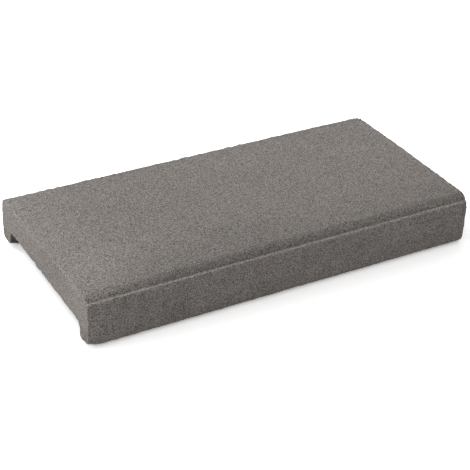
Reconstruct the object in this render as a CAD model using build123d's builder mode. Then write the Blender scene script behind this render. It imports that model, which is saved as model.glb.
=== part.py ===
from build123d import *
import os
from math import radians, tan

# A precast concrete wall coping: one pressed unit with a U section that sits over the head of a wall.
# X runs along the wall, Y across it and Z up. The origin is on the ground under the middle of the unit.

# Driving sizes, in millimetres
length = 500.0  # along the wall
wall_width = 200.0  # clear width between the two lips, where they leave the slab
lip_width = 25.0  # thickness of a lip where it leaves the slab
lip_depth = 24.0  # how far a lip hangs below the bed face
lip_draft = 11.5  # degrees by which a lip's inner face leans, so that the unit leaves its mould
root_radius = 4.0  # hollow round between the bed face and a lip

# The top falls slightly across the wall, from the near side to the far side, and sheds the rain that way
slab_thickness = 42.0  # from the bed face up to the near edge of the flat top
top_fall = 5.5  # how much lower the far edge of the flat lies

# The weathered long edges: the press head rounds them over and leaves a narrow shelf beside the mould wall
edge_run = 13.5  # width of the rounding, seen from above
edge_drop = 6.0  # how far the rounding falls below the flat top beside it
shelf_width = 3.0  # flat shelf between the rounding and the side face

# The feet of the lips
foot_outer_radius = 10.0
foot_inner_radius = 5.0
left_toe_run = 17.0  # at the left end both feet sweep up, over this length
left_toe_rise = 5.0  # and by this much

# Eased arrises round the two end faces
left_arris_radius = 1.0
right_arris_radius = 2.0

# Sizes that follow from those above
width = wall_width + 2 * lip_width
height = lip_depth + slab_thickness
near_shelf_height = height - edge_drop
far_shelf_height = height - top_fall - edge_drop
shelf_inner = width / 2 - shelf_width
flat_half_width = shelf_inner - edge_run
foot_inner = wall_width / 2 + lip_depth * tan(radians(lip_draft))


with BuildPart() as coping:
    # Cross section, from the flat top round both sides to the hollow between the lips
    with BuildSketch(Plane.YZ) as section:
        with BuildLine():
            flat_top = Line((-flat_half_width, height), (flat_half_width, height - top_fall))
            near_edge = TangentArc(
                flat_top @ 0, (-shelf_inner, near_shelf_height), tangent=-(flat_top % 0)
            )
            far_edge = TangentArc(flat_top @ 1, (shelf_inner, far_shelf_height), tangent=flat_top % 1)
            Polyline(
                near_edge @ 1,
                (-width / 2, near_shelf_height),
                (-width / 2, 0),
                (-foot_inner, 0),
                (-wall_width / 2, lip_depth),
                (wall_width / 2, lip_depth),
                (foot_inner, 0),
                (width / 2, 0),
                (width / 2, far_shelf_height),
                far_edge @ 1,
            )
        make_face()
        roots = section.vertices().filter_by(lambda v: abs(v.Y - lip_depth) < 1e-6)
        fillet(roots, root_radius)
        feet = section.vertices().group_by(Axis.Y)[0].sort_by(Axis.X)
        fillet([feet[0], feet[-1]], foot_outer_radius)
        feet = section.vertices().filter_by(lambda v: abs(abs(v.X) - foot_inner) < 1e-6)
        fillet(feet, foot_inner_radius)
    extrude(amount=length / 2, both=True)

    # The outline of each end face is eased all round
    left_outline = coping.faces().sort_by(Axis.X)[0].edges()
    fillet(left_outline, left_arris_radius)
    right_outline = coping.faces().sort_by(Axis.X)[-1].edges()
    fillet(right_outline, right_arris_radius)

    # Side view: the feet sweep up to the left end
    with BuildSketch(Plane.XZ):
        with BuildLine():
            toe_start = (left_toe_run - length / 2, 0)
            sweep_up = TangentArc(toe_start, (-length / 2, left_toe_rise), tangent=(-1, 0))
            Polyline(sweep_up @ 1, (-length / 2, 0), toe_start)
        make_face()
    extrude(amount=width, both=True, mode=Mode.SUBTRACT)

coping.part.label = "coping"
os.makedirs("parts", exist_ok=True)
export_step(coping.part, "parts/coping.step")

print("coping", round(length), "x", round(width), "x", round(height), "mm")
print("volume", round(coping.part.volume / 1e6, 3), "litres, solids", len(coping.part.solids()))
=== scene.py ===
# %% [markdown]
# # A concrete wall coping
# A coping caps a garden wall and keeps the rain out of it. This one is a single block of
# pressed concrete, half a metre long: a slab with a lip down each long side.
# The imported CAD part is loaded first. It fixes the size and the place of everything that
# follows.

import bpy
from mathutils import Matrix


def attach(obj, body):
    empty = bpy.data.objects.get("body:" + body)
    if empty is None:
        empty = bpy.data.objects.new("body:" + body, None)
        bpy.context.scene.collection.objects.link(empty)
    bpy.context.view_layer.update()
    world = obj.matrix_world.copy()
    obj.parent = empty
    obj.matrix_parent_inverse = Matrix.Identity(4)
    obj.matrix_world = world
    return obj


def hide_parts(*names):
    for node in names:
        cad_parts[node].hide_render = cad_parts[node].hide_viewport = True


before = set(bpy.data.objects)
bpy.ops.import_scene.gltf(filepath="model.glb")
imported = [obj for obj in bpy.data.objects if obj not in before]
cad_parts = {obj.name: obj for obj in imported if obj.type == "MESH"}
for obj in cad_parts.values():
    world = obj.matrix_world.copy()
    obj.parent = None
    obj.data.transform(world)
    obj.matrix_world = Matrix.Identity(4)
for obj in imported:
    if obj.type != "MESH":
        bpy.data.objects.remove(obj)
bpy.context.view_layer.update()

# %% [markdown]
# ## The outline of the section
# Cut across, the coping is a thick U turned upside down. The CAD solid is exact, but its faces
# are large and flat, and pressed concrete never is. The solid could be subdivided, but its
# long thin triangles would tear the relief. A new skin with many small faces can carry it, so
# the outline is drawn again here, as a row of points in the Y-Z plane.
# Sizes are in millimetres until the very end, because that is how a mould maker thinks.

# %% The sizes of the section
import bpy
import math
import numpy as np

LENGTH = 500.0
HALF_LENGTH = LENGTH / 2
HALF_WIDTH = 125.0
HALF_WALL = 100.0      # half the clear width between the lips
BED_Z = 24.0           # the face that lies on the wall
NEAR_TOP_Z = 66.0      # near edge of the flat top
TOP_FALL = 5.5         # the far edge lies this much lower
EDGE_RUN = 13.5        # width of the rounded long edge
EDGE_DROP = 6.0        # and how far it falls
SHELF = 3.0            # narrow ledge beside the side face
ARRIS = 0.9            # worn corner between ledge and side face
FOOT_OUTER = 10.0
FOOT_INNER = 5.0
LIP_LEAN = math.radians(11.5)
ROOT_RADIUS = 4.0
FOOT_Y = HALF_WALL + BED_Z * math.tan(LIP_LEAN)
FLAT_Y = HALF_WIDTH - SHELF - EDGE_RUN   # the flat top ends here
print("flat top", 2 * FLAT_Y, "mm wide, inner feet", round(2 * FOOT_Y, 1), "mm apart")

# %% [markdown]
# A corner of the outline is rounded by walking along a small circle that touches both of its
# sides. The same helper serves the feet, the roots of the lips and the worn arrises. A bevel
# modifier could do it too, but its new points come in an order of their own, and further down
# each point of the outline needs a partner across the thickness.

# %% Helpers that draw the outline
def straight(start, end, steps):
    """Points from start to end, without the last one."""
    part = np.linspace(0.0, 1.0, steps + 1)[:-1, None]
    return np.asarray(start) * (1 - part) + np.asarray(end) * part


def arc(centre, start, end, steps):
    """Points on a circle from start to end the short way round, without the last one."""
    first = np.asarray(start, float) - centre
    last = np.asarray(end, float) - centre
    angle = math.atan2(first[0] * last[1] - first[1] * last[0], first @ last)
    turn = np.linspace(0.0, angle, steps + 1)[:-1]
    across = np.array([-first[1], first[0]])
    return centre + np.cos(turn)[:, None] * first + np.sin(turn)[:, None] * across


def corner(before, at, after, radius):
    """Centre, start and end of the circle that rounds the corner at `at`."""
    at = np.asarray(at, float)
    back = (before - at) / np.linalg.norm(before - at)
    on = (after - at) / np.linalg.norm(after - at)
    half = math.acos(np.clip(back @ on, -1, 1)) / 2
    reach = radius / math.tan(half)
    middle = (back + on) / np.linalg.norm(back + on)
    return at + middle * radius / math.sin(half), at + back * reach, at + on * reach


print("a quarter circle in three steps:", arc((0, 0), (1, 0), (0, 1), 3).round(2).tolist())

# %% [markdown]
# The outline is made of two chains with the same number of points. The outer chain runs from
# the near foot up the side, over the top and down to the far foot. The inner chain runs under
# it, round the hollow. Each outer point has a partner on the inner chain, and this is what
# later lets the two end faces be filled with tidy four-sided faces.
# Each long edge is rounded over and ends on a narrow ledge, the mark of the press head that
# fits into its mould with a little play.

# %% One side of the section, and then both
FOOT_STEPS, SIDE_STEPS, LEDGE_STEPS, ROUND_STEPS, TOP_STEPS = 6, 20, 4, 12, 84
BED_START = 0.1        # the bed face's first point, so far beyond the root, in millimetres
fall_angle = math.atan(TOP_FALL / (2 * FLAT_Y))


def outer_half(side):
    """Outer chain from a foot to the flat top; side is -1 near, 1 far."""
    flat_end = np.array([FLAT_Y, NEAR_TOP_Z if side < 0 else NEAR_TOP_Z - TOP_FALL])
    shelf_z = flat_end[1] - EDGE_DROP
    shelf_inner = np.array([HALF_WIDTH - SHELF, shelf_z])
    up = np.array([math.sin(fall_angle) * side, math.cos(fall_angle)])
    gap = flat_end - shelf_inner
    radius = gap @ gap / (2 * gap @ up)     # of the circle that runs smoothly into the top
    side_foot = np.array([HALF_WIDTH, 0.0])
    foot = corner(np.array([0.0, 0.0]), side_foot, np.array([HALF_WIDTH, BED_Z]), FOOT_OUTER)
    arris = corner(side_foot, (HALF_WIDTH, shelf_z), shelf_inner, ARRIS)
    return np.vstack([
        arc(*foot, FOOT_STEPS),
        straight(foot[2], arris[1], SIDE_STEPS),
        arc(*arris, LEDGE_STEPS - 2),
        straight(arris[2], shelf_inner, 2),
        arc(flat_end - up * radius, shelf_inner, flat_end, ROUND_STEPS),
        flat_end[None],
    ]) * (side, 1)


def inner_half(side):
    """Inner chain from a foot round the root of the lip to the bed face."""
    root_at, foot_at = np.array([HALF_WALL, BED_Z]), np.array([FOOT_Y, 0.0])
    toe = corner(np.array([HALF_WIDTH, 0.0]), foot_at, root_at, FOOT_INNER)
    root = corner(foot_at, root_at, np.array([0.0, BED_Z]), ROOT_RADIUS)
    return np.vstack([
        arc(*toe, FOOT_STEPS),
        straight(toe[2], root[1], SIDE_STEPS),
        arc(*root, LEDGE_STEPS + ROUND_STEPS),
        [(root[2][0] - BED_START, BED_Z)],
    ]) * (side, 1)


def whole(near, far):
    """Join two halves by a straight run in the middle."""
    return np.vstack([near[:-1], straight(near[-1], far[-1], TOP_STEPS), far[::-1]])


outer = whole(outer_half(-1), outer_half(1))
inner = whole(inner_half(-1), inner_half(1))
print("points on each chain:", len(outer), len(inner))

# %% [markdown]
# ## Rungs across the thickness
# A rung joins each outer point to its partner. Its points lie close together near both
# chains, because the eased arris of the end face needs small faces there.

# %% The grid of the end face
RUNG_ENDS = np.array([0.0, 0.12, 0.45, 1.0, 1.8, 3.0, 5.0])   # millimetres in from a chain
RUNG_MIDDLE = 5        # gaps between the two ends
ENDS_SHARE = 2.6       # a rung is at least so many times as long as one of its ends


def rung(start, end):
    """Points from start to end, close together near both."""
    size = np.linalg.norm(end - start)
    near = RUNG_ENDS * min(1.0, size / (ENDS_SHARE * RUNG_ENDS[-1]))
    middle = np.linspace(near[-1], size - near[-1], RUNG_MIDDLE + 1)[1:-1]
    along = np.concatenate([near, middle, (size - near)[::-1]]) / size
    return start + along[:, None] * (end - start)


face_grid = np.array([rung(a, b) for a, b in zip(outer, inner)])
CHAIN, ACROSS = face_grid.shape[:2]
print("end face grid:", CHAIN, "x", ACROSS)

# %% [markdown]
# ## From the section to a block
# The edge of the grid is the outline of the coping. Repeated at many stations along X it
# becomes the long skin. The stations lie about two millimetres apart, as close as the points
# on the top, so that the faces are nearly square and the relief looks alike both ways.

# %% The long skin
STATION_GAP = 2.15
LEFT_ARRIS = 1.0
RIGHT_ARRIS = 2.0

rim = [(i, 0) for i in range(CHAIN)] + [(CHAIN - 1, j) for j in range(1, ACROSS)]
rim += [(i, ACROSS - 1) for i in range(CHAIN - 2, -1, -1)]
rim += [(0, j) for j in range(ACROSS - 2, 0, -1)]
outline = np.array([face_grid[i, j] for i, j in rim])
ring = len(outline)
steps = round((LENGTH - LEFT_ARRIS - RIGHT_ARRIS) / STATION_GAP)
stations = np.linspace(LEFT_ARRIS - HALF_LENGTH, HALF_LENGTH - RIGHT_ARRIS, steps + 1)

skin = np.array([[(x, y, z) for y, z in outline] for x in stations]).reshape(-1, 3)
faces = []
for k in range(steps):
    for n in range(ring):
        m = (n + 1) % ring
        faces.append((k * ring + n, (k + 1) * ring + n, (k + 1) * ring + m, k * ring + m))
print("stations:", len(stations), "points round each:", ring)

# %% [markdown]
# The two end faces are the grid itself, pushed out like a shallow cushion. Its edge is a
# quarter circle, and that is the eased arris that the end plate of the mould leaves. The left
# arris is crisp, the right one is softer. An n-gon would close each end with a single face,
# but it could carry neither the arris nor the relief.

# %% The two end faces
def distance_to_outline(places):
    """How far each point of the section lies in from its outline."""
    run = np.roll(outline, -1, axis=0) - outline
    best = np.full(len(places), np.inf)
    for a, d in zip(outline, run):
        part = np.clip(((places - a) @ d) / (d @ d), 0, 1)
        best = np.minimum(best, np.linalg.norm(places - a - part[:, None] * d, axis=1))
    return best


def cushion(depth, radius):
    """How far the end face still lies back, `depth` in from its rim."""
    short = np.clip(radius - depth, 0, radius)
    return radius - np.sqrt(radius ** 2 - short ** 2)


inside = [(i, j) for i in range(1, CHAIN - 1) for j in range(1, ACROSS - 1)]
inside_yz = np.array([face_grid[i, j] for i, j in inside])
inside_depth = distance_to_outline(inside_yz)
vertices = [skin]
count = len(skin)
for side, radius, first in ((-1, LEFT_ARRIS, 0), (1, RIGHT_ARRIS, steps * ring)):
    number = {place: first + n for n, place in enumerate(rim)}
    number.update({place: count + n for n, place in enumerate(inside)})
    x = side * (HALF_LENGTH - cushion(inside_depth, radius))
    vertices.append(np.column_stack([x, inside_yz]))
    count += len(inside)
    for i in range(CHAIN - 1):
        for j in range(ACROSS - 1):
            quad = [number[i, j], number[i + 1, j], number[i + 1, j + 1], number[i, j + 1]]
            faces.append(quad if side < 0 else quad[::-1])
points = np.vstack(vertices)
rim_gap = np.concatenate([HALF_LENGTH - np.abs(skin[:, 0]), inside_depth, inside_depth])
print("vertices:", len(points), "faces:", len(faces))

# %% [markdown]
# ## Feet that sweep up
# At the left end both feet rise a few millimetres, as if the block had been slid off a table
# before it was hard. Points low in the lips are lifted most, and the bed face stays put. Two
# small helpers come first: a ramp climbs evenly from 0 to 1 between two places, and a bell
# fades softly from 1 to 0 over a distance. They serve for everything that is local.

# %% Lift the feet at the left end
TOE_RUN = 17.0
TOE_RISE = 5.0


def ramp(value, start, end):
    """0 at start, 1 at end, even in between."""
    return np.clip((value - start) / (end - start), 0, 1)


def bell(distance, reach):
    """1 at distance 0, about a third at reach, nearly 0 at twice the reach."""
    return np.exp(-(distance / reach) ** 2)


toe_radius = (TOE_RUN ** 2 + TOE_RISE ** 2) / (2 * TOE_RISE)
into_toe = np.clip(TOE_RUN - HALF_LENGTH - points[:, 0], 0, TOE_RUN)
toe_lift = toe_radius - np.sqrt(toe_radius ** 2 - into_toe ** 2)
points[:, 2] += toe_lift * ramp(points[:, 2], BED_Z, 0) ** 2
print("feet lifted at the left end by", round(float(toe_lift.max()), 2), "mm")

# %% [markdown]
# ## A fuller rim round the hollow
# Round the hollow the end plate of the mould doesn't close quite tightly. The concrete creeps
# out a little there, so the rim of the hollow stands about a millimetre fuller than the rest,
# and most along the near lip. Each point is pushed along its rung, towards the hollow.

# %% Push the rim of the hollow
BURR = 0.9             # how far the concrete creeps out, in millimetres
BURR_NEAR = 2.1        # so many times as much along the near lip
BURR_DEEP = 2.5        # how far the push reaches into the section
BURR_LONG = 4.0        # and along the block
FOOT_CLEAR = 3.0       # it fades out over the last millimetres above the ground

ladder = face_grid[:, -1] - face_grid[:, 0]
into_hollow = ladder / np.linalg.norm(ladder, axis=1)[:, None]
from_hollow = np.linalg.norm(face_grid - face_grid[:, -1:], axis=2)
push_grid = into_hollow[:, None] * bell(from_hollow, BURR_DEEP)[..., None]
push_rim = np.array([push_grid[i, j] for i, j in rim])
push_inside = np.array([push_grid[i, j] for i, j in inside])
push = np.vstack([np.tile(push_rim, (len(stations), 1)), push_inside, push_inside])
push *= bell(HALF_LENGTH - np.abs(points[:, :1]), BURR_LONG)
on_near_lip = points[:, 1:2] < -0.9 * HALF_WALL
push *= ramp(points[:, 2:], 0, FOOT_CLEAR) * np.where(on_near_lip, BURR_NEAR, 1.0)
points[:, 1:] += BURR * push
print("rim of the hollow fuller by up to", round(BURR * float(np.abs(push).max()), 2), "mm")

# %% [markdown]
# ## Smooth noise for an uneven surface
# Numbers drawn on a coarse lattice and blended between its corners give soft hills and
# hollows. A displace modifier could raise such bumps too, but here their height depends on
# where the arrises and the feet are, and plain numbers say that most directly. Each call has
# its own seed, so the block comes out the same every time.

# %% Noise
from itertools import product


def soft_noise(where, cell, seed):
    """Soft bumps from -1 to 1, about one cell wide."""
    place = (where - where.min(axis=0)) / cell
    lattice = np.floor(place).astype(int)
    part = place - lattice
    part = part * part * (3 - 2 * part)
    table = np.random.default_rng(seed).uniform(-1, 1, tuple(lattice.max(axis=0) + 2))
    total = np.zeros(len(where))
    for step in product((0, 1), repeat=3):
        at = lattice + step
        share = np.prod(np.where(step, part, 1 - part), axis=1)
        total += table[at[:, 0], at[:, 1], at[:, 2]] * share
    return total


sample = soft_noise(points[:3], cell=24.0, seed=12)
print("noise of the first three points:", sample.round(2).tolist())

# %% [markdown]
# ## The mesh and its regions
# Points will move along their normals, so the mesh is made before the relief and asked for
# them. Then every point learns where it lies: on a rounded edge, near the rim of an end face,
# low on a foot, beside the ledge. Each region is a number from 0 to 1 for every point.

# %% Make the mesh and name its regions
MM = 0.001             # a millimetre, in metres
RIM_WIDE = 2.6         # how far in from its outline an end face is worn
LEDGE_WIDE = 1.2       # how far the worn line beside the ledge reaches
CALM_WIDE = 4.0        # how far from the ledge the sand stays flatter
EDGE_FADE = 4.0        # the rough edge begins so far inside the end of the flat top

mesh = bpy.data.meshes.new("coping_block")
mesh.from_pydata((points * MM).tolist(), [], faces)
mesh.update()
normals = np.empty(len(points) * 3)
mesh.vertex_normals.foreach_get("vector", normals)
normals = normals.reshape(-1, 3)

x, y, z = points.T
from_middle = np.abs(y)
ledge_z = np.where(y < 0, NEAR_TOP_Z, NEAR_TOP_Z - TOP_FALL) - EDGE_DROP
end_rim = bell(rim_gap, RIM_WIDE)
on_edge = ramp(from_middle, FLAT_Y - EDGE_FADE, FLAT_Y) * (z > ledge_z - 1)
on_foot = ramp(z, FOOT_OUTER, 0)
ledge_corner = bell(np.hypot(HALF_WIDTH - from_middle, z - ledge_z), CALM_WIDE)
in_from_ledge = np.clip(HALF_WIDTH - SHELF + ARRIS - from_middle, 0, None)
ledge = bell(np.hypot(in_from_ledge, z - ledge_z), LEDGE_WIDE)
print("points on the ledges:", int((ledge > 0.5).sum()))
print("points near the end rims:", int((end_rim > 0.5).sum()))

# %% [markdown]
# ## Sandy relief
# The faces of pressed concrete are even to the hand, with low hills a palm wide. The arrises
# are where the sand shows: the cement skin is thin there and single grains stand out. So the
# same sand is used all over, and made several times rougher on edges, rims and feet.

# %% Hills and sand
HILLS = ((0.14, 70.0, 11), (0.08, 24.0, 12))     # height and width in millimetres, seed
SAND = ((0.04, 5.5, 13), (0.045, 2.7, 14))
EDGE_ROUGH, FAR_EDGE_ROUGH, FOOT_ROUGH = 6.5, 10.0, 7.5
FAR_ZONE = 90.0        # beyond this y the far edge begins
LEDGE_CALM = 0.75      # share of the roughness that the ledge is spared
RIGHT_CALM = 0.45      # share that is left on the upright edges of the right end


def layered(rows):
    """Noise of several sizes, added up."""
    return sum(height * soft_noise(points, width, seed) for height, width, seed in rows)


hills = layered(HILLS)
edges = np.maximum(on_edge, end_rim) * (1 - LEDGE_CALM * ledge_corner)
steady = np.where((x > 0) & (z < ledge_z - 1), RIGHT_CALM, 1.0)
edge_rough = np.where(y > FAR_ZONE, FAR_EDGE_ROUGH, EDGE_ROUGH) * edges * steady
sand = layered(SAND) * (1.0 + edge_rough + FOOT_ROUGH * on_foot)
print("sand stands out by up to", round(float(sand.max()), 2), "mm")

# %% [markdown]
# ## Crumbs and knocked corners
# Units are stacked, carried and set down, and they lose crumbs along the ledges and the end
# rims. A few corners have taken a knock, and the far edge sags a little at its right end. A
# crumb is noise from which only the peaks are kept.

# %% Wear
CRUMBS = ((6.0, 0.35, 15), (15.0, 0.5, 16))      # width, how much of the noise is cut off, seed
CRUMB_DEPTH = 0.9
CRUMB_LEDGE, CRUMB_RIM = 0.6, 0.7                # share of it on the ledges and the end rims
KNOCKED_CORNERS = [      # where, how wide and how deep, in millimetres
    ((250, -125, 61), 6.5, 1.6),
    ((-246, -120, 2), 6.0, 0.7),
    ((235, 112, 60), 30.0, 0.8),
    ((-250, 125, 54), 4.0, 1.5),
    ((250, 111, 60.5), 3.0, 0.8),
    ((250, -122, 1), 6.0, 0.7),
]

crumbs = sum(np.clip(soft_noise(points, width, seed) - cut, 0, 1)
             for width, cut, seed in CRUMBS)
wear = CRUMB_DEPTH * crumbs * np.clip(CRUMB_LEDGE * ledge + CRUMB_RIM * end_rim, 0, 1)
for knock, reach, loss in KNOCKED_CORNERS:
    wear += loss * bell(np.linalg.norm(points - knock, axis=1), reach)
print("worn by up to", round(float(wear.max()), 2), "mm, knocks:", len(KNOCKED_CORNERS))

# %% [markdown]
# ## Proud grains
# The far edge and the rims of the ends were filled a little fuller, and coarse grains stand
# proud there. They break up the outline, which is the first thing that the eye checks. Two
# small lumps are wider than a grain: one on the left foot, one at the far left corner.

# %% Fuller edges and proud grains
RIGHT_FULLER, FAR_FULLER = 0.42, 0.15            # millimetres
NEAR_SHARE = 0.1       # share of it towards the near side
GRAIN_WIDE, GRAIN_HIGH = 4.2, 1.5
GRAIN_CUT, GRAIN_SINK = 0.15, 0.08               # only peaks stand out, the rest sinks a little
GRAIN_RIGHT = 0.65     # share of a grain's height at the right end
LUMPS = [                # where, how wide and how high, in millimetres
    ((-250, -111, 6), 5.0, 0.8),
    ((-243, 122, 56), 5.0, 0.7),
]

away_from_near = np.maximum(ramp(y, -100, -75), NEAR_SHARE)
fuller = RIGHT_FULLER * end_rim * (x > 0) * away_from_near * ramp(z, 8, 16)
fuller += FAR_FULLER * (y > 95) * ramp(x, 0, -60)
proud_grains = np.clip(soft_noise(points, GRAIN_WIDE, 20) - GRAIN_CUT, 0, 1) - GRAIN_SINK
on_rims = np.where(x > 0, GRAIN_RIGHT, 1.0) * end_rim * (z > ledge_z + 1)
fuller += GRAIN_HIGH * proud_grains * np.maximum(on_edge * (y > FAR_ZONE), on_rims)
for lump, reach, rise in LUMPS:
    fuller += rise * bell(np.linalg.norm(points - lump, axis=1), reach)
print("grains stand proud by up to", round(float(fuller.max()), 2), "mm")

# %% [markdown]
# ## Press the relief into the block
# All of it is added up and each point moves along its normal. A tenth of a millimetre is taken
# off all over first, and the box of the CAD part is kept as a hard limit, so that no grain
# stands outside it.

# %% Move the points
SKIN = 0.1             # taken off all over
FOOT_WEAR = 0.12       # and a little more under the feet

press = SKIN - hills - sand - fuller + wear + FOOT_WEAR * on_foot
points = points - normals * press[:, None]
low_corner, high_corner = (-HALF_LENGTH, -HALF_WIDTH, 0), (HALF_LENGTH, HALF_WIDTH, NEAR_TOP_Z)
points = np.clip(points, low_corner, high_corner)
mesh.vertices.foreach_set("co", (points * MM).ravel())
mesh.update()
mesh.polygons.foreach_set("use_smooth", [True] * len(mesh.polygons))
coping = bpy.data.objects.new("coping_block", mesh)
bpy.context.scene.collection.objects.link(coping)
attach(coping, "root")
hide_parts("coping")
print("lowest corner in mm:", points.min(axis=0).round(2))
print("highest corner in mm:", points.max(axis=0).round(2))

# %% [markdown]
# ## A tone for every point
# Concrete isn't one grey. Rubbed arrises are paler. The line beside the ledge is paler still,
# partly as a worn arris and partly as a painted highlight where the ledge catches the light.
# Painted shade darkens the rounded long edges and the groove beside the ledge. The top carries
# painted light: lighter at its left end, in a patch near the left front corner and towards the
# right, with painted shade towards its near edge.
# These places are known here, so their tone is worked out now, as a factor for the grey.

# %% The tone of the top, with painted light and shade
# Painted light on the top: lighter at the left end, in a patch near the left front corner and
# towards the right; the right rim is a paler rubbed arris.
LIGHT_PAINTED_LEFT, LIGHT_PAINTED_PATCH, LIGHT_PAINTED_RIGHT, PALE_RIM = 0.10, 0.15, 0.09, 0.05
# Painted shade: darker towards the near edge of the top, over the rounded long edges and in the
# groove beside the ledge.
SHADE_PAINTED_NEAR, SHADE_PAINTED_ROUNDING, SHADE_PAINTED_GROOVE = 0.15, 0.12, 0.14
# The line beside the ledge is paler, partly as a worn arris and partly as a painted highlight.
PALE_LINE_AND_HIGHLIGHT, LINE_PATCHY, LINE_LEFT, LINE_RIGHT = 0.35, 0.35, 0.4, 0.5
LEFT_WIDE, RIM_PALE_WIDE, GROOVE_WIDE = 45.0, 8.0, 1.7      # millimetres
PATCH_X, PATCH_Y, PATCH_WIDE = -200.0, -68.0, 50.0

on_top = z > ledge_z + 0.3
left_end = bell(x + HALF_LENGTH, LEFT_WIDE)
patch = bell(np.hypot(x - PATCH_X, y - PATCH_Y), PATCH_WIDE)
# Painted shade towards the near edge of the top, fading out at the left end.
near_side = ramp(y, -35, -110) ** 1.2 * (1 - left_end)
# Painted light on the top, then painted shade towards the near edge.
top_tone = LIGHT_PAINTED_LEFT * left_end + LIGHT_PAINTED_PATCH * patch + LIGHT_PAINTED_RIGHT * ramp(x, -50, 170)
top_tone = (top_tone - SHADE_PAINTED_NEAR * near_side) * (1 - ledge)
top_tone += PALE_RIM * bell(x - HALF_LENGTH, RIM_PALE_WIDE)

patchy = LINE_PATCHY * soft_noise(points, 7.0, 17)
ends = LINE_LEFT * ramp(x, -120, -220) + LINE_RIGHT * ramp(x, 150, 210)
# Paler worn arris and painted highlight along the ledge, stronger towards both ends.
line = ledge * (1.0 + patchy + ends)
# Painted shade on the rounded long edges, half as strong towards the left end.
rounding = ramp(from_middle, FLAT_Y, FLAT_Y + 5) * on_top * (1 - 0.5 * ramp(x, -130, -190))
# Painted shade in the groove beside the ledge.
groove = bell(np.hypot(from_middle - HALF_WIDTH + SHELF, z - ledge_z), GROOVE_WIDE)
tone = 1.0 + PALE_LINE_AND_HIGHLIGHT * line - SHADE_PAINTED_ROUNDING * rounding - SHADE_PAINTED_GROOVE * groove
tone += top_tone * on_top
print("palest on the top:", round(float(tone[on_top].max()), 2))

# %% [markdown]
# The mould scraped the side faces when the block left it, which shows as faint upright
# streaks. The side faces are a little darker all over and carry painted light, lighter towards
# their feet. The end faces carry painted light and shade, darker all over and lighter above
# their lips; they are also darker low down, and their rims are paler. The hollow is painted
# darkest, as painted shade. The tone is stored on the mesh as an attribute,
# because an attribute follows the mesh and the material can read it without any picture.

# %% The tone of sides, ends and hollow, with painted light and shade
# Painted light and shade on the end faces: darker all over, lighter above the lips; they are
# also darker low down.
END_SHADE_PAINTED, END_LIGHT_PAINTED, END_RIM, END_DARK_LOW = -0.07, 0.10, 0.08, 0.15
# The side faces are painted lighter towards their feet: painted light.
SIDE_TONE, SIDE_FOOT_LIGHT_PAINTED, SIDE_STREAK = -0.04, 0.05, 0.07
# Painted shade in the hollow.
HOLLOW_SHADE_PAINTED = 0.45
SLACK = 0.8            # millimetres round the hollow that still count as hollow

on_end = np.abs(x) > HALF_LENGTH - 0.9
on_side = ~on_top & ~on_end
upright = np.column_stack([x, y, 0.3 * z])       # noise stretched upwards
streaks = soft_noise(upright, 9.0, 18) + 0.7 * soft_noise(points, 20.0, 19)
hollow_y = HALF_WALL + (BED_Z - z) * math.tan(LIP_LEAN) + SLACK
in_hollow = (from_middle < hollow_y) & (z < BED_Z + SLACK) & ~on_end

# Painted shade and light on the end faces, and their paler rims.
end_tone = END_SHADE_PAINTED + END_LIGHT_PAINTED * ramp(from_middle, 0, 85) ** 2 + END_RIM * end_rim
tone += on_end * (end_tone - END_DARK_LOW * ramp(z, 27, 18))
# Painted light towards the feet of the side faces, and the scraping streaks.
tone += on_side * (SIDE_TONE + SIDE_FOOT_LIGHT_PAINTED * ramp(z, 50, 0) + SIDE_STREAK * streaks * (1 - ledge))
# Painted shade in the hollow.
tone -= HOLLOW_SHADE_PAINTED * in_hollow
tone_attribute = mesh.attributes.new("tone", "FLOAT", "POINT")
tone_attribute.data.foreach_set("value", tone.astype(np.float32))
print("tone runs from", round(float(tone.min()), 2), "to", round(float(tone.max()), 2))

# %% [markdown]
# ## Concrete
# The material is sand in cement, and it is built from a few kinds of node. Noise gives clouds,
# Voronoi cells give grains and pores, and small sums put them together. Each helper makes one
# node, joins it up and hands back its output, so that the recipe below reads like a recipe.
# Roughness and gloss are the same all over and are set directly: dry concrete hardly shines.

# %% Helpers for the material
DRY, GLOSS = 0.93, 0.25
MM_PER_METRE = 1000.0

concrete = bpy.data.materials.new("pressed_concrete")
concrete.use_nodes = True
nodes, links = concrete.node_tree.nodes, concrete.node_tree.links
shader = nodes["Principled BSDF"]
shader.inputs["Roughness"].default_value = DRY
shader.inputs["Specular IOR Level"].default_value = GLOSS
place = nodes.new("ShaderNodeTexCoord")


def noise(size_mm, detail=2.0, roughness=0.5):
    """Soft noise whose bumps are about size_mm wide; runs from 0 to 1."""
    node = nodes.new("ShaderNodeTexNoise")
    node.inputs["Scale"].default_value = MM_PER_METRE / size_mm
    node.inputs["Detail"].default_value = detail
    node.inputs["Roughness"].default_value = roughness
    links.new(place.outputs["Object"], node.inputs["Vector"])
    return node.outputs["Fac"]


def cells(size_mm):
    """Voronoi cells about size_mm wide: distance to the middle, and two random numbers."""
    node = nodes.new("ShaderNodeTexVoronoi")
    node.inputs["Scale"].default_value = MM_PER_METRE / size_mm
    links.new(place.outputs["Object"], node.inputs["Vector"])
    split = nodes.new("ShaderNodeSeparateColor")
    links.new(node.outputs["Color"], split.inputs[0])
    return node.outputs["Distance"], split.outputs[0], split.outputs[1]


def calc(kind, first, second):
    """One sum; each term is a number or the output of a node."""
    node = nodes.new("ShaderNodeMath")
    node.operation = kind
    for socket, value in zip(node.inputs, (first, second)):
        if isinstance(value, float):
            socket.default_value = value
        else:
            links.new(value, socket)
    return node.outputs[0]


def around_zero(value, amount):
    """Turn 0..1 into -amount/2..amount/2."""
    return calc("MULTIPLY", calc("SUBTRACT", value, 0.5), amount)


print("material started:", concrete.name)

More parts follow.
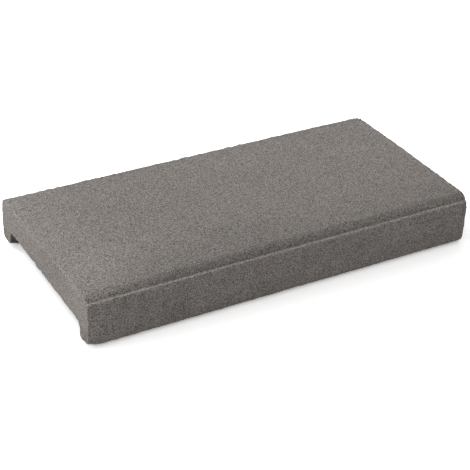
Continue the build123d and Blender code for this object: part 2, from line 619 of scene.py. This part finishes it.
# %% [markdown]
# ## Grains, pores and clouds
# Each grain of sand has its own grey. Between them are small open pores, where a bubble of air
# sat against the mould: about one cell in three of the coarse pattern has one. Soft clouds
# show where the mix was wetter or drier. The sum is never allowed to reach black.

# %% The brightness of the concrete
GRAIN_MM, FINE_MM, PORE_CELL_MM = 0.75, 0.5, 4.2
SMALL_CLOUD_MM, LARGE_CLOUD_MM = 28.0, 110.0
PORE_SIZE = 0.2        # radius of a pore, as a share of its cell
PORE_PICK = 0.65       # cells with a higher number have a pore
GRAIN, FINE, SMALL_CLOUD, LARGE_CLOUD, PORE = 1.45, 1.3, 0.11, 0.12, -0.22
DARKEST = 0.12

_, grain_grey, grain_kind = cells(GRAIN_MM)
pore_distance, pore_pick, _ = cells(PORE_CELL_MM)
pore_size = calc("MULTIPLY", calc("GREATER_THAN", pore_pick, PORE_PICK), PORE_SIZE)
pore = calc("LESS_THAN", pore_distance, pore_size)
parts = [
    around_zero(grain_grey, GRAIN),
    around_zero(noise(FINE_MM, 2.0, 0.6), FINE),
    around_zero(noise(SMALL_CLOUD_MM, 3.0), SMALL_CLOUD),
    around_zero(noise(LARGE_CLOUD_MM, 2.0), LARGE_CLOUD),
    calc("MULTIPLY", pore, PORE),
]
brightness = 1.0
for part in parts:
    brightness = calc("ADD", part, brightness)
tone_node = nodes.new("ShaderNodeAttribute")
tone_node.attribute_name = "tone"
brightness = calc("MULTIPLY", calc("MAXIMUM", brightness, DARKEST), tone_node.outputs["Fac"])
print("patterns in the grey:", len(parts))

# %% [markdown]
# ## Colour
# Up close the grey is warm, with patches that lean to pink or to green. Two tints are mixed by
# a noise of their own, and the brightness scales the result. Scaling keeps the tint of every
# grain and can lighten it too. Mixing with black could only darken.

# %% Two tints and the base colour
PINKISH, GREENISH = (0.2235, 0.198, 0.1845), (0.2115, 0.2, 0.1845)
TINT_MM = 22.0

tint = nodes.new("ShaderNodeMix")
tint.data_type = "RGBA"
links.new(noise(TINT_MM, 2.0), tint.inputs["Factor"])
tint.inputs["A"].default_value = (*PINKISH, 1)
tint.inputs["B"].default_value = (*GREENISH, 1)
shade = nodes.new("ShaderNodeVectorMath")
shade.operation = "SCALE"
links.new(tint.outputs["Result"], shade.inputs[0])
links.new(brightness, shade.inputs["Scale"])
links.new(shade.outputs[0], shader.inputs["Base Color"])
print("tints:", PINKISH, GREENISH)

# %% [markdown]
# ## Bump
# Grains of a millimetre are too small for the mesh, and they matter only for how the light
# breaks on them. A bump node is right for that. Everything larger is real geometry already.

# %% Fine bumps of the sand
BUMP_MM = 0.25         # height of the bumps
SAND_MM = 1.4          # and the width of the widest
GRAIN_STEP = 0.35      # how much single grains differ in height

grain_height = calc("MULTIPLY", grain_kind, GRAIN_STEP)
height = calc("SUBTRACT", calc("ADD", grain_height, noise(SAND_MM, 3.0, 0.6)), pore)
bump = nodes.new("ShaderNodeBump")
bump.inputs["Strength"].default_value = 1.0
bump.inputs["Distance"].default_value = BUMP_MM * MM
links.new(height, bump.inputs["Height"])
links.new(bump.outputs[0], shader.inputs["Normal"])
mesh.materials.append(concrete)
print("nodes in the material:", len(nodes))

# %% [markdown]
# ## The floor
# The block lies on white paper in a studio. Paper that is lit only by lamps comes out grey, or
# needs so much light that the block is washed out. So rays that come straight from the camera
# see the paper's own light twice over and a faint glow on top. All other rays meet plain paper,
# and the light that it throws back on the block stays true. The soft shadow is kept.

# %% White paper
def seen_directly(nodes, links):
    """1 for rays of the camera, or that a mirror or glass sends on, otherwise 0."""
    path = nodes.new("ShaderNodeLightPath")
    total = path.outputs["Is Camera Ray"]
    for name in ("Is Glossy Ray", "Is Transmission Ray"):
        node = nodes.new("ShaderNodeMath")
        node.operation = "MAXIMUM"
        links.new(total, node.inputs[0])
        links.new(path.outputs[name], node.inputs[1])
        total = node.outputs[0]
    return total


FLOOR_HALF = 6.0       # metres
floor_corners = [(-FLOOR_HALF, -FLOOR_HALF, 0), (FLOOR_HALF, -FLOOR_HALF, 0),
                 (FLOOR_HALF, FLOOR_HALF, 0), (-FLOOR_HALF, FLOOR_HALF, 0)]
floor_mesh = bpy.data.meshes.new("studio_floor")
floor_mesh.from_pydata(floor_corners, [], [(0, 1, 2, 3)])
floor = bpy.data.objects.new("studio_floor", floor_mesh)
bpy.context.scene.collection.objects.link(floor)

PAPER_GREY, PAPER_GLOW = 0.85, 0.23
paper = bpy.data.materials.new("white_paper")
paper.use_nodes = True
nodes, links = paper.node_tree.nodes, paper.node_tree.links
shader = nodes["Principled BSDF"]
shader.inputs["Base Color"].default_value = (PAPER_GREY, PAPER_GREY, PAPER_GREY, 1)
shader.inputs["Roughness"].default_value = 1.0
glow = nodes.new("ShaderNodeEmission")
glow.inputs["Color"].default_value = (1, 1, 1, 1)
glow.inputs["Strength"].default_value = PAPER_GLOW
twice, glowing = nodes.new("ShaderNodeAddShader"), nodes.new("ShaderNodeAddShader")
choose = nodes.new("ShaderNodeMixShader")
links.new(shader.outputs[0], twice.inputs[0])
links.new(shader.outputs[0], twice.inputs[1])
links.new(twice.outputs[0], glowing.inputs[0])
links.new(glow.outputs[0], glowing.inputs[1])
links.new(seen_directly(nodes, links), choose.inputs[0])
links.new(shader.outputs[0], choose.inputs[1])
links.new(glowing.outputs[0], choose.inputs[2])
links.new(choose.outputs[0], nodes["Material Output"].inputs["Surface"])
floor_mesh.materials.append(paper)
print("floor:", 2 * FLOOR_HALF, "metres square")

# %% [markdown]
# ## The room
# The world does two jobs. It is the white background that the camera sees, and it is the even
# light of a white room round the block. The two need different strengths, so the same test of
# the ray chooses between them.

# %% White room
BACKDROP_LIGHT, ROOM_LIGHT = 1.0, 0.51

world = bpy.data.worlds.new("white_room")
bpy.context.scene.world = world
world.use_nodes = True
nodes, links = world.node_tree.nodes, world.node_tree.links
room = nodes["Background"]
room.inputs["Color"].default_value = (1, 1, 1, 1)
room.inputs["Strength"].default_value = ROOM_LIGHT
backdrop = nodes.new("ShaderNodeBackground")
backdrop.inputs["Color"].default_value = (1, 1, 1, 1)
backdrop.inputs["Strength"].default_value = BACKDROP_LIGHT
choose = nodes.new("ShaderNodeMixShader")
links.new(seen_directly(nodes, links), choose.inputs[0])
links.new(room.outputs[0], choose.inputs[1])
links.new(backdrop.outputs[0], choose.inputs[2])
links.new(choose.outputs[0], nodes["World Output"].inputs["Surface"])
print("light of the room:", ROOM_LIGHT)

# %% [markdown]
# ## Lamps
# The top of the block is light and the near side clearly darker, with a short shadow in front:
# the main light stands behind and above. A weaker one on the left keeps the left end as light
# as the top. Both are large soft boxes, so no shadow has a hard edge.

# %% Two soft boxes
from mathutils import Vector

AIM = Vector((0, 0, 0))
BOX_SIZE = 0.7         # metres
KEY_SPOT, KEY_WATTS = (-0.53, 0.88, 1.23), 11.6
FILL_SPOT, FILL_WATTS = (-1.45, 0, 0.68), 5.6


def soft_box(name, spot, watts):
    """A square area lamp at a spot, turned towards the block."""
    lamp = bpy.data.lights.new(name, "AREA")
    lamp.shape = "SQUARE"
    lamp.size = BOX_SIZE
    lamp.energy = watts
    holder = bpy.data.objects.new(name, lamp)
    holder.location = spot
    holder.rotation_euler = (AIM - Vector(spot)).to_track_quat("-Z", "Y").to_euler()
    bpy.context.scene.collection.objects.link(holder)
    print(name, "at", spot, "with", watts, "watts")


soft_box("key_behind", KEY_SPOT, KEY_WATTS)
soft_box("fill_left", FILL_SPOT, FILL_WATTS)

# %% [markdown]
# ## Camera
# A product photograph is taken from some way off with a long lens, so the edges of the block
# run nearly parallel. The camera was fitted to those edges: it looks down on the top from the
# front left and leans by two degrees, as a camera held by hand does. The Standard view keeps
# the greys as they were mixed.

# %% Place the camera
SENSOR_MM, LENS_MM = 36.0, 107.13
CAMERA_SPOT = (-0.7268, -1.2374, 0.9148)         # metres
CAMERA_TURN = (57.69, -2.149, -29.054)           # degrees

camera_data = bpy.data.cameras.new("camera")
camera_data.sensor_width = SENSOR_MM
camera_data.lens = LENS_MM
camera = bpy.data.objects.new("camera", camera_data)
camera.location = CAMERA_SPOT
camera.rotation_euler = [math.radians(angle) for angle in CAMERA_TURN]
bpy.context.scene.collection.objects.link(camera)
bpy.context.scene.camera = camera
bpy.context.scene.view_settings.view_transform = "Standard"
print("camera", round(camera.location.length, 2), "metres from the middle of the floor")
